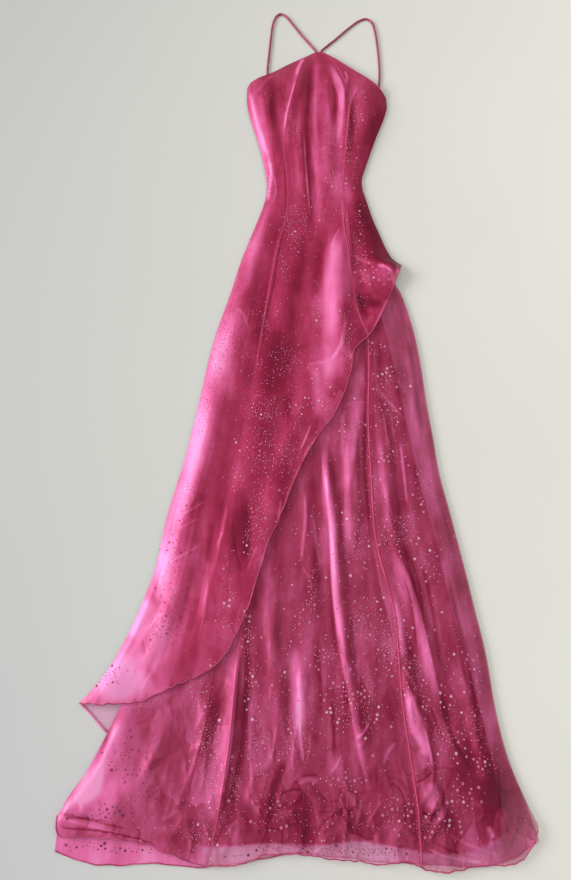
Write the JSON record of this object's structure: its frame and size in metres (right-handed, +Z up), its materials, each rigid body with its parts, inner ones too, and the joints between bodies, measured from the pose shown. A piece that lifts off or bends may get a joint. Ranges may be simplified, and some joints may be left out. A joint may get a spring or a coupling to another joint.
{
  "type": "evening gown",
  "caption": "Floor-length halter evening gown in sheer organza over a lining, laid flat, with a diagonal overlay hem and thin shoulder straps.",
  "frame": {"origin": "middle of the gown's box on the surface that it lies on", "axes": "+X to the wearer's left as seen from the front, +Y from the hem to the straps, +Z up from the surface"},
  "size_m": [0.685, 1.585, 0.023],
  "materials": {
    "overlay_organza": "sheer satin-faced organza with foil dots and stars",
    "underskirt_organza": "sheer organza with foil dots and stars",
    "back_organza": "sheer organza",
    "lining": "smooth lining with a soft sheen",
    "strap": "rolled satin tube"
  },
  "bodies": {
    "root": {"back_left": "back_organza", "back_right": "back_organza", "back_underskirt": "underskirt_organza", "lining_front": "lining", "underskirt_left": "underskirt_organza", "underskirt_centre": "underskirt_organza", "underskirt_right": "underskirt_organza", "front_left": "overlay_organza", "front_centre": "overlay_organza", "front_right": "overlay_organza", "strap_left": "strap", "strap_right": "strap"}
  },
  "joints": []
}
